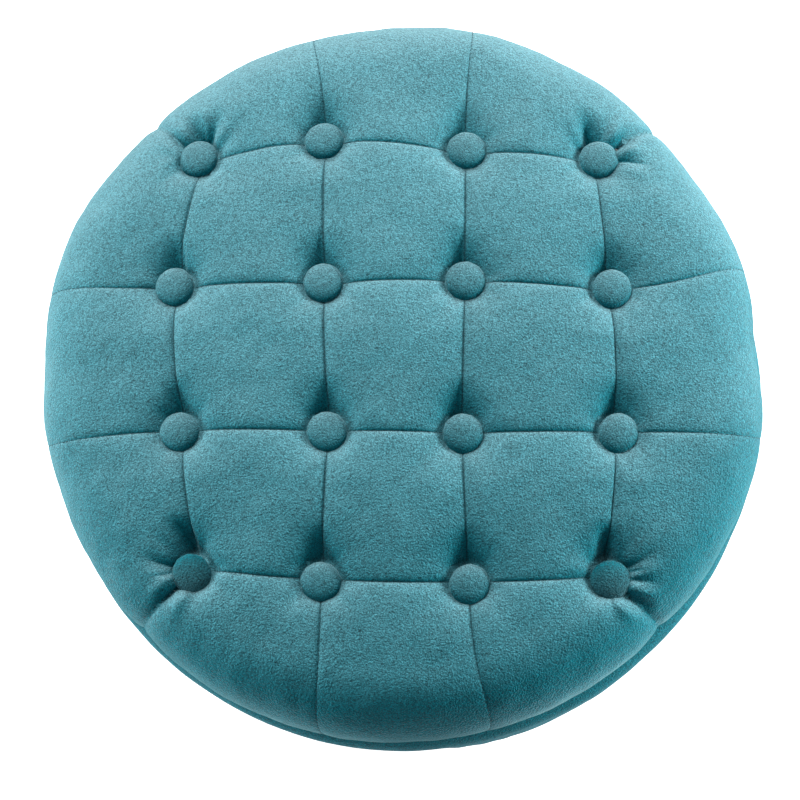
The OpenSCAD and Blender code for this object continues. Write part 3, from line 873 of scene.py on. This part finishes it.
def clearRuns(points, plan):
    # Splits a seam into the stretches between buttons
    apart = plan[:, None, :] - buttonPlan.reshape(-1, 2)[None]
    gaps = np.min(np.hypot(apart[..., 0], apart[..., 1]), axis=1)
    runs, run = [], []
    for point, gap in zip(points, gaps):
        if gap > stitch["clear"]:
            run.append(point)
        elif run:
            runs.append(run)
            run = []
    if run:
        runs.append(run)
    return [r for r in runs if len(r) > 4]


def seamRuns():
    runs = []
    for k in range(4):
        for stops, ends, upright in ((colStops, rowStops, True), (rowStops, colStops, False)):
            last = arcUnder if k in (1, 2) else ends[3]
            walk = np.linspace(-last if k in (1, 2) else ends[0], last, 700)
            fixed = np.full(len(walk), stops[k])
            i, j = (fixed, walk) if upright else (walk, fixed)
            points, _ = seatPoints(i, j, -0.0001)
            runs += clearRuns(points, pulled(roundOff(i, j)))
    for (row, col), heading in zip(corners, seamHeadings["corners"]):
        start = buttonPlan[row, col]
        end = roundLid(heading, arcUnder)
        plan = start + np.linspace(0, 1, 160)[:, None] * (end - start)
        places = unpull(plan)
        points, _ = seatPoints(places[:, 0], places[:, 1], -0.0001)
        runs += clearRuns(points, plan)
    return runs


def makeStitchTree():
    tree = bpy.data.node_groups.new("stitchAlong", "GeometryNodeTree")
    tree.interface.new_socket(name="Geometry", in_out="INPUT", socket_type="NodeSocketGeometry")
    for label in ("Pitch", "Length", "Width", "Height"):
        tree.interface.new_socket(name=label, in_out="INPUT", socket_type="NodeSocketFloat")
    tree.interface.new_socket(name="Material", in_out="INPUT", socket_type="NodeSocketMaterial")
    tree.interface.new_socket(name="Geometry", in_out="OUTPUT", socket_type="NodeSocketGeometry")
    start, end = tree.nodes.new("NodeGroupInput"), tree.nodes.new("NodeGroupOutput")
    curve = tree.nodes.new("GeometryNodeMeshToCurve")
    resample = tree.nodes.new("GeometryNodeResampleCurve")
    resample.mode = "LENGTH"
    tangent = tree.nodes.new("GeometryNodeInputTangent")
    turn = tree.nodes.new("FunctionNodeAlignRotationToVector")
    turn.axis = "X"
    shape = tree.nodes.new("GeometryNodeMeshIcoSphere")
    shape.inputs["Radius"].default_value = 0.5
    shape.inputs["Subdivisions"].default_value = 1
    size = tree.nodes.new("ShaderNodeCombineXYZ")
    place = tree.nodes.new("GeometryNodeInstanceOnPoints")
    smooth = tree.nodes.new("GeometryNodeSetShadeSmooth")
    realize = tree.nodes.new("GeometryNodeRealizeInstances")
    paint = tree.nodes.new("GeometryNodeSetMaterial")
    link = tree.links.new
    link(start.outputs["Geometry"], curve.inputs["Mesh"])
    link(curve.outputs["Curve"], resample.inputs["Curve"])
    link(start.outputs["Pitch"], resample.inputs["Length"])
    link(resample.outputs["Curve"], place.inputs["Points"])
    link(tangent.outputs["Tangent"], turn.inputs["Vector"])
    link(turn.outputs["Rotation"], place.inputs["Rotation"])
    for label, axis in (("Length", "X"), ("Width", "Y"), ("Height", "Z")):
        link(start.outputs[label], size.inputs[axis])
    link(size.outputs[0], place.inputs["Scale"])
    link(shape.outputs["Mesh"], smooth.inputs["Geometry"])
    link(smooth.outputs["Geometry"], place.inputs["Instance"])
    link(place.outputs["Instances"], realize.inputs["Geometry"])
    link(realize.outputs["Geometry"], paint.inputs["Geometry"])
    link(start.outputs["Material"], paint.inputs["Material"])
    link(paint.outputs["Geometry"], end.inputs["Geometry"])
    return tree


def applyTree(thing, tree, name, values):
    # Runs a geometry tree on an object and keeps the result as a plain mesh
    modifier = thing.modifiers.new("made", "NODES")
    modifier.node_group = tree
    for item in tree.interface.items_tree:
        if item.in_out == "INPUT" and item.name in values:
            modifier[item.identifier] = values[item.name]
    bpy.context.view_layer.update()
    evaluated = thing.evaluated_get(bpy.context.evaluated_depsgraph_get())
    mesh = bpy.data.meshes.new_from_object(evaluated)
    made = bpy.data.objects.new(name, mesh)
    scene.collection.objects.link(made)
    thing.modifiers.clear()
    bpy.data.objects.remove(thing)
    return made


stitchTree = makeStitchTree()


def makeStitches(name, runs, body):
    points = [p for run in runs for p in run]
    edges, first = [], 0
    for run in runs:
        edges += [(first + k, first + k + 1) for k in range(len(run) - 1)]
        first += len(run)
    mesh = bpy.data.meshes.new(name + "Path")
    mesh.from_pydata([tuple(p) for p in points], edges, [])
    path = bpy.data.objects.new(name + "Path", mesh)
    scene.collection.objects.link(path)
    values = {"Pitch": stitch["pitch"], "Length": stitch["length"], "Width": stitch["width"],
              "Height": stitch["height"], "Material": finishes["seamThread"]}
    made = applyTree(path, stitchTree, name, values)
    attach(made, body)
    print(name, "made,", len(made.data.polygons), "faces")


makeStitches("seatStitches", seamRuns(), "lid")


button = {
    "height": 0.0072,
    "edgeHeight": 0.0015,
    "seatRadius": 0.0106,
    "shadedCloth": [(4, 1), (4, 4)],  # painted shade: the two front corner buttons get a darker copy of the button velvet, with its own painted light way
    "puckers": (9, 14),  # fine and finer gathers at the edge, and how strong they are
    "pucker": 0.012,
    "dent": 0.012,
    "lean": 0.9,  # how far a button follows the crown's slope, and by how much it strays
    "loose": 0.03,
    "turns": 56,
    "rings": 15,
    "frontTip": {(3, 0): (0.05, -0.12), (3, 3): (-0.03, -0.11), (2, 2): (0.0, -0.06)},
}


def makeButton(row, col):
    low, high = boxOf(f"button_{row}_{col}")
    radius = (high[0] - low[0]) / 2 + 0.0002
    seatPlace = buttonSeat[row - 1, col - 1]
    rng = np.random.default_rng(100 + row * 4 + col)
    profile = [
        (button["seatRadius"] - 0.002, -0.0014),
        (button["seatRadius"], -0.0002),
        (radius * 0.965, 0.0010),
        (radius * 0.995, button["edgeHeight"] * 0.75),
    ]
    for k in range(button["rings"]):
        a = math.pi / 2 * (1 - k / button["rings"])
        dome = button["height"] - button["edgeHeight"]
        profile.append((radius * math.sin(a) ** 0.86, button["edgeHeight"] + dome * math.cos(a)))
    turns = button["turns"]
    few, many = button["puckers"]
    points, phase = [], rng.uniform(0, 6.3, 4)
    for r, z in profile:
        edge = max(0.0, 1 - z / 0.0045)
        for t in range(turns):
            a = 2 * math.pi * t / turns
            gathers = math.sin(few * a + phase[0]) + 0.7 * math.sin(many * a + phase[1])
            pucker = 1 + edge * button["pucker"] * gathers
            dent = 1 + button["dent"] * math.sin(2 * a + phase[2])
            points.append((r * pucker * dent * math.cos(a), r * pucker * dent * math.sin(a), z))
    points.append((0, 0, button["height"]))
    points.append((0, 0, -0.0014))
    faces = [tuple(f) for f in gridFaces(len(profile), turns, False, True)]
    last = (len(profile) - 1) * turns
    faces += [(last + t, last + (t + 1) % turns, len(points) - 2) for t in range(turns)]
    faces += [((t + 1) % turns, t, len(points) - 1) for t in range(turns)]
    lean = Vector((seatPlace[0], seatPlace[1], 0)) / crownRadius
    tip = button["frontTip"].get((row - 1, col - 1), (0, 0))
    stray = button["loose"]
    loose = Vector((rng.uniform(-stray, stray), rng.uniform(-stray, stray), 0))
    lean = lean * button["lean"] + Vector((*tip, 0)) + loose
    axis = Vector((lean.x, lean.y, 1)).normalized()
    turn = Vector((0, 0, 1)).rotation_difference(axis).to_matrix()
    points = [tuple(Vector(seatPlace) + turn @ Vector(p)) for p in points]
    cloth = velvetButtonShaded if (row, col) in button["shadedCloth"] else velvetButton
    thing = makeObject(f"coveredButton_{row}_{col}", points, faces, cloth)
    turnOutward(thing)
    settle(thing, "lid", f"button_{row}_{col}")


for row in rows:
    for col in rows:
        makeButton(row, col)
print("buttons made")


drum = {
    "shoulder": 0.016,
    "hem": 0.010,
    "mouth": 0.187,
    "turnDown": 0.026,
    "hemEdge": 0.178,
    "cloth": 0.0012,
    "turns": 420,
    "uneven": (0.0007, 0.0003),  # of the wall, wide and narrow
    "seamAngle": math.pi / 2,
    "seamDepth": 0.0009,
    "seamValley": (0.0016, 0.007),
    "hemRipples": 73,
    "hemRipple": 0.0004,
    "stitchDepth": 0.0008,
}


def arcPoints(center, radius, start, end, count):
    angles = np.radians(np.linspace(start, end, count))
    return [(center[0] + radius * math.cos(a), center[1] + radius * math.sin(a)) for a in angles]


def drumOutline(inset):
    # From the hem under the drum, up the wall, over the shoulder and down inside the mouth
    low, high = drumLow[2] + inset, drumHigh[2] - inset
    wall = drumRadius - inset
    hemCenter = (drumRadius - drum["hem"], drumLow[2] + drum["hem"])
    topCenter = (drumRadius - drum["shoulder"], drumHigh[2] - drum["shoulder"])
    outline = [(r, low) for r in np.linspace(drum["hemEdge"], hemCenter[0], 7)[:-1]]
    outline += arcPoints(hemCenter, drum["hem"] - inset, -90, 0, 9)
    outline += [(wall, z) for z in np.linspace(hemCenter[1], topCenter[1], 46)[1:-1]]
    outline += arcPoints(topCenter, drum["shoulder"] - inset, 0, 90, 13)
    edge = drum["mouth"] + inset
    outline += [(r, high) for r in np.linspace(topCenter[0], edge + 0.0012, 8)[1:]]
    outline += [(edge, z) for z in np.linspace(high - 0.0012, drumHigh[2] - drum["turnDown"], 8)]
    return np.array(outline)


def turnRound(loop, turns):
    # The points of an outline turned round the drum's axis, with each one's radius, height and angle
    angle = np.linspace(0, 2 * math.pi, turns, endpoint=False)
    r, z, a = np.repeat(loop[:, 0], turns), np.repeat(loop[:, 1], turns), np.tile(angle, len(loop))
    return np.stack([r * np.cos(a), r * np.sin(a), z], axis=-1), r, z, a


def pushOut(points, a, distance):
    points[:, 0] += distance * np.cos(a)
    points[:, 1] += distance * np.sin(a)


def besideSeam(a, seamAngle, radius):
    # Distance round the wall from an upright seam
    return np.abs((a - seamAngle + math.pi) % (2 * math.pi) - math.pi) * radius


def makeDrumCover():
    loop = np.vstack([drumOutline(0.0), drumOutline(drum["cloth"])[::-1]])
    base, r, z, a = turnRound(loop, drum["turns"])
    wall = smoothStep(r, 0.212, 0.2295)
    wide, narrow = drum["uneven"]
    lift = wall * (wide * waves(11, base, 0.16) + narrow * waves(12, base * [1, 1, 0.35], 0.05))
    fromSeam = besideSeam(a, drum["seamAngle"], drumRadius)
    lift -= wall * drum["seamDepth"] * crease(fromSeam, *drum["seamValley"])
    tight = np.exp(-((z - drumLow[2]) / 0.02)) * wall
    lift += drum["hemRipple"] * tight * np.cos(drum["hemRipples"] * a + np.sin(5 * a))
    pushOut(base, a, lift)
    thing = makeObject("drumCover", base, gridFaces(len(loop), drum["turns"], True, True), velvetDrum)
    turnOutward(thing)
    settle(thing, "drum", "side_cover")


makeDrumCover()
seamHeights = np.linspace(drumLow[2] + drum["hem"], drumHigh[2] - drum["shoulder"], 240)
seamRun = [(0, drumRadius - drum["stitchDepth"], z) for z in seamHeights]
makeStitches("drumStitches", [seamRun], "drum")
print("drum cover made")


def addPlanUv(thing, uvs):
    layer = thing.data.uv_layers.new(name="cloth")
    loops = np.empty(len(thing.data.loops), dtype=np.int64)
    thing.data.loops.foreach_get("vertex_index", loops)
    layer.data.foreach_set("uv", np.asarray(uvs)[loops].ravel())


wallFoam = {
    "turns": 180,
    "clear": 0.0002,  # from the wall and the cover
    "uneven": 0.0004,
    "setBack": 0.0012,
    "seamGap": 0.0014,  # further back behind the cover's seam
    "seamReach": 0.012,
}


def makeWallFoam():
    # Foam round the wall and over its upper edge, just inside the cover
    cloth = drum["cloth"]
    wallOut = boxOf("drum_wall")[1][0] + wallFoam["clear"]
    low, high = drumLow[2] + cloth + 0.0004, drumHigh[2] - cloth
    inside = drumOutline(cloth + wallFoam["clear"])[6:]
    outer = [(wallOut, low)] + [(r, z) for r, z in inside if z < high - 0.0002 and r > wallOut]
    loop = np.array(outer + [(wallOut, high - 0.0004)])
    turns = wallFoam["turns"]
    points, r, _, a = turnRound(loop, turns)
    fromSeam = besideSeam(a, drum["seamAngle"], drumRadius)
    swell = wallFoam["uneven"] * waves(21, points, 0.12) - wallFoam["setBack"]
    swell -= wallFoam["seamGap"] * np.exp(-fromSeam / wallFoam["seamReach"])
    swell = np.where(r > wallOut + 0.002, swell, 0)
    pushOut(points, a, swell)
    thing = makeObject("wallFoam", points, gridFaces(len(loop), turns, True, True), finishes["cutFoam"])
    turnOutward(thing)
    settle(thing, "drum", "wall_foam")


sideLining = {
    "cloth": 0.001,
    "turns": 360,
    "levels": 60,
    "fold": 0.0016,  # loose folds in the middle of its height
    "seamAngle": -math.pi / 2,
    "seamRise": 0.0009,
    "seamWidth": 0.004,
}


def makeSideLining():
    low, high = boxOf("side_lining")
    outer = (high[0] - low[0]) / 2
    inner = outer - sideLining["cloth"]
    turns, levels = sideLining["turns"], sideLining["levels"]
    heights = np.linspace(low[2] + 0.0001, high[2] - 0.0001, levels)
    loop = np.array([(outer, z) for z in heights] + [(inner, z) for z in heights[::-1]])
    points, r, z, a = turnRound(loop, turns)
    near = np.exp(-(high[2] - z) / 0.03) + np.exp(-(z - low[2]) / 0.03)
    fold = 0.5 + 0.5 * waves(31, points * [1, 1, 0.25], 0.06)
    fromSeam = besideSeam(a, sideLining["seamAngle"], outer)
    rise = sideLining["seamRise"] * np.exp(-(fromSeam / sideLining["seamWidth"]) ** 2)
    loose = sideLining["fold"] * fold * (1 - 0.7 * np.clip(near, 0, 1)) + rise
    loose *= np.where(r < outer - 0.0005, 1.0, 0.25)
    pushOut(points, a, -loose)
    faces = gridFaces(len(loop), turns, True, True)
    thing = makeObject("sideLining", points, faces, finishes["liningCloth"])
    addPlanUv(thing, np.stack([a * outer, z], axis=-1))
    turnOutward(thing)
    settle(thing, "drum", "side_lining")


discs = {
    "pull": 0.0005,  # at the lid lining's staples
    "staples": 36,
    "slack": 0.0003,
    "sag": 0.0009,  # of the dust cover
}


def makeDisc(name, node, body, material, shape, edge):
    # A round flat piece: shape gives the lift of its upper and lower side at each point
    turns, rings = 288, 40
    low, high = boxOf(node)
    radius = (high[0] - low[0]) / 2
    middle, half = (low[2] + high[2]) / 2, (high[2] - low[2]) / 2
    loop = [(radius * math.sin(math.pi / 2 * k / rings), 1) for k in range(1, rings + 1)]
    loop += [(r, -1) for r, _ in loop[::-1]]
    r, side = np.array(loop).T
    bevel = np.where(np.abs(r - radius) < 1e-6, 1 - edge, 1.0)
    angle = np.linspace(0, 2 * math.pi, turns, endpoint=False)
    a = np.tile(angle, len(loop))
    r, side, bevel = np.repeat(r, turns), np.repeat(side, turns), np.repeat(bevel, turns)
    points = np.stack([r * np.cos(a), r * np.sin(a), middle + side * half * bevel], axis=-1)
    points[:, 2] += shape(points, side, radius)
    top = [0, 0, middle + half]
    points = np.vstack([points, [top, [0, 0, middle - half]]])
    count = len(loop) * turns
    faces = [tuple(f) for f in gridFaces(len(loop), turns, False, True)]
    faces += [(t, (t + 1) % turns, count) for t in range(turns)]
    faces += [(count - turns + (t + 1) % turns, count - turns + t, count + 1) for t in range(turns)]
    thing = makeObject(name, points, faces, material)
    addPlanUv(thing, points[:, :2])
    turnOutward(thing)
    settle(thing, body, node)
    return thing


def liningShape(points, side, radius):
    # Tight between its staples, a little slack in the middle
    r = np.hypot(points[:, 0], points[:, 1])
    a = np.arctan2(points[:, 1], points[:, 0])
    pull = discs["pull"] * np.cos(discs["staples"] * a) * smoothStep(r, radius * 0.75, radius)
    slack = discs["slack"] * waves(41, points, 0.08) * (1 - smoothStep(r, radius * 0.8, radius))
    return slack + pull * np.where(side > 0, 0.0, 1.0)


def matShape(points, side, radius):
    return np.where(side > 0, discs["slack"] * waves(42, points, 0.09), 0)


def dustShape(points, side, radius):
    r = np.hypot(points[:, 0], points[:, 1])
    return -discs["sag"] * (0.6 + 0.4 * waves(43, points, 0.07)) * (1 - smoothStep(r, 0.10, 0.165))


makeWallFoam()
makeSideLining()
lining = finishes["liningCloth"]
lidLining = makeDisc("lidLining", "lid_lining", "lid", lining, liningShape, 0.5)
floorMat = makeDisc("floorMat", "floor_mat", "drum", lining, matShape, 0.6)
dustCover = makeDisc("dustCover", "dust_cover", "drum", finishes["dustCloth"], dustShape, 0.3)
print("linings made")


def makeLight(name, place, target, size, power):
    data = bpy.data.lights.new(name, "AREA")
    data.shape = "RECTANGLE"
    data.size, data.size_y = size
    data.energy = power
    light = bpy.data.objects.new(name, data)
    light.location = place
    light.rotation_euler = (Vector(target) - Vector(place)).to_track_quat("-Z", "Y").to_euler()
    light.visible_camera = False
    scene.collection.objects.link(light)


lidMiddle = (0, 0, lidLow[2])
studio = {
    "skyFront": 0.15,
    "skyBack": 0.51,
    "skyBelow": 0.2,
    "coolFill": (0.35, 0.88, 1.0, 1),
    # place, what it points at, width and depth, power
    "lights": {
        "keyLight": ((-0.65, 1.66, 1.65), lidMiddle, (1.4, 1.1), 73.0),
        "rimLight": ((2.0, 0.38, 0.75), lidMiddle, (1.0, 0.5), 72.0),
        "leftLight": ((-2.0, -0.05, 0.65), lidMiddle, (1.0, 0.5), 34.0),
        # thrown up from the floor onto the lid's lower roll
        "bounceFront": ((0.0, -0.62, 0.02), (0, -0.22, 0.36), (0.7, 0.25), 1.1),
        "bounceLeft": ((-0.66, -0.24, 0.02), (-0.21, -0.08, 0.36), (0.4, 0.25), 3.6),
        "bounceRight": ((0.70, 0.0, 0.02), (0.23, 0.0, 0.36), (0.4, 0.25), 3.4),
    },
    "toLight": (0.37, 0.93),  # the way to the brighter side, along x and y
    "floorGlow": 0.8,
    "floorHalf": 6,
}


def makeStage():
    floorMaterial, tree, shader = makeMaterial("paleFloor")
    shader.inputs["Base Color"].default_value = (0.90, 0.90, 0.90, 1)
    shader.inputs["Roughness"].default_value = 0.9
    shader.inputs["Specular IOR Level"].default_value = 0.1
    shader.inputs["Emission Color"].default_value = (1, 1, 1, 1)
    shader.inputs["Emission Strength"].default_value = studio["floorGlow"]
    half = studio["floorHalf"]
    points = [(-half, -half, 0), (half, -half, 0), (half, half, 0), (-half, half, 0)]
    floor = makeObject("floor", points, [(0, 1, 2, 3)], floorMaterial, smooth=False)
    floor.visible_diffuse = False
    floor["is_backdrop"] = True


def makeLights():
    # A soft room, brighter behind and above the lid than in front of it
    world = bpy.data.worlds.new("studio")
    world.use_nodes = True
    tree = world.node_tree
    apart = tree.nodes.new("ShaderNodeSeparateXYZ")
    tree.links.new(tree.nodes.new("ShaderNodeTexCoord").outputs["Generated"], apart.inputs[0])
    shareX, shareY = studio["toLight"]
    along = times(tree, apart.outputs["Y"], shareY)
    across = times(tree, apart.outputs["X"], shareX)
    toBack = plus(tree, along, across)
    toLight = rampNode(tree, toBack, -0.5, 0.9, studio["skyFront"], studio["skyBack"])
    above = rampNode(tree, apart.outputs["Z"], -0.2, 0.2, 0.0, 1.0)
    below = times(tree, mathNode(tree, "SUBTRACT", 1.0, above), studio["skyBelow"])
    strength = plus(tree, times(tree, toLight, above), below)
    background = tree.nodes["Background"]
    fromBack = rampNode(tree, toBack, -0.6, 0.3)
    tree.links.new(mixColor(tree, fromBack, studio["coolFill"], (1.0, 1.0, 1.0, 1)), background.inputs[0])
    tree.links.new(strength, background.inputs[1])
    pale = tree.nodes.new("ShaderNodeBackground")
    pale.inputs[0].default_value = (1, 1, 1, 1)
    choose = tree.nodes.new("ShaderNodeMixShader")
    tree.links.new(tree.nodes.new("ShaderNodeLightPath").outputs["Is Camera Ray"], choose.inputs[0])
    tree.links.new(background.outputs[0], choose.inputs[1])
    tree.links.new(pale.outputs[0], choose.inputs[2])
    tree.links.new(choose.outputs[0], tree.nodes["World Output"].inputs[0])
    scene.world = world
    for name, values in studio["lights"].items():
        makeLight(name, *values)


makeStage()
makeLights()
scene.view_settings.view_transform = "Standard"
print("stage made")

low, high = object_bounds()
